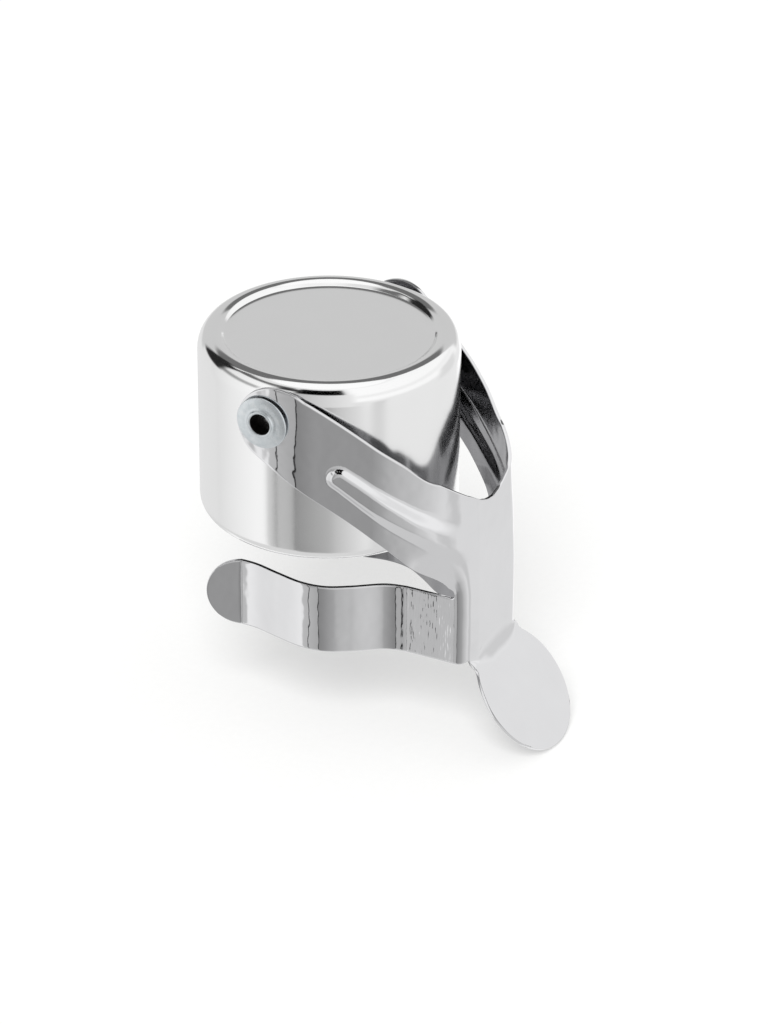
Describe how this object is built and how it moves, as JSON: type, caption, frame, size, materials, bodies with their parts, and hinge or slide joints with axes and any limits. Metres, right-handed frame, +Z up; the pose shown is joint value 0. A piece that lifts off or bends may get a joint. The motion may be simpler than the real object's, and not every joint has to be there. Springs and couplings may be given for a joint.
{
  "type": "champagne stopper",
  "caption": "Stopper for a sparkling-wine bottle: a round steel cap with a rubber seal, and a hinged spring clamp whose jaws hook under the bottle's collar.",
  "frame": {"origin": "on the bottle's axis, at the middle of the flat sunk panel in the cap's roof", "axes": "+Z up the bottle's axis, out of the cap's roof; +X from the axis towards the thumb tab; Y along the clamp's pivot. The clamp is closed."},
  "size_m": [0.0604, 0.0442, 0.0621],
  "materials": {
    "cap_chrome": "polished chrome plate, flat panel slightly duller",
    "clamp_chrome": "polished chrome plate on pressed spring steel",
    "rivet_zinc": "bright zinc plate, slightly blue",
    "washer_zinc": "zinc plate, dull",
    "seal_rubber": "moulded rubber, matt"
  },
  "bodies": {
    "cap": {"cap_shell": "cap_chrome", "seal_pad": "seal_rubber", "pivot_rivet_left": "rivet_zinc", "pivot_rivet_right": "rivet_zinc", "backing_washer_left": "washer_zinc", "backing_washer_right": "washer_zinc"},
    "clamp": {"clamp_lever": "clamp_chrome"}
  },
  "joints": [
    {"name": "clamp_swing", "type": "hinge", "parent": "cap", "child": "clamp", "pos_m": [0, 0, -0.0053], "axis": [0, -1, 0], "range_deg": [-5, 195]}
  ]
}
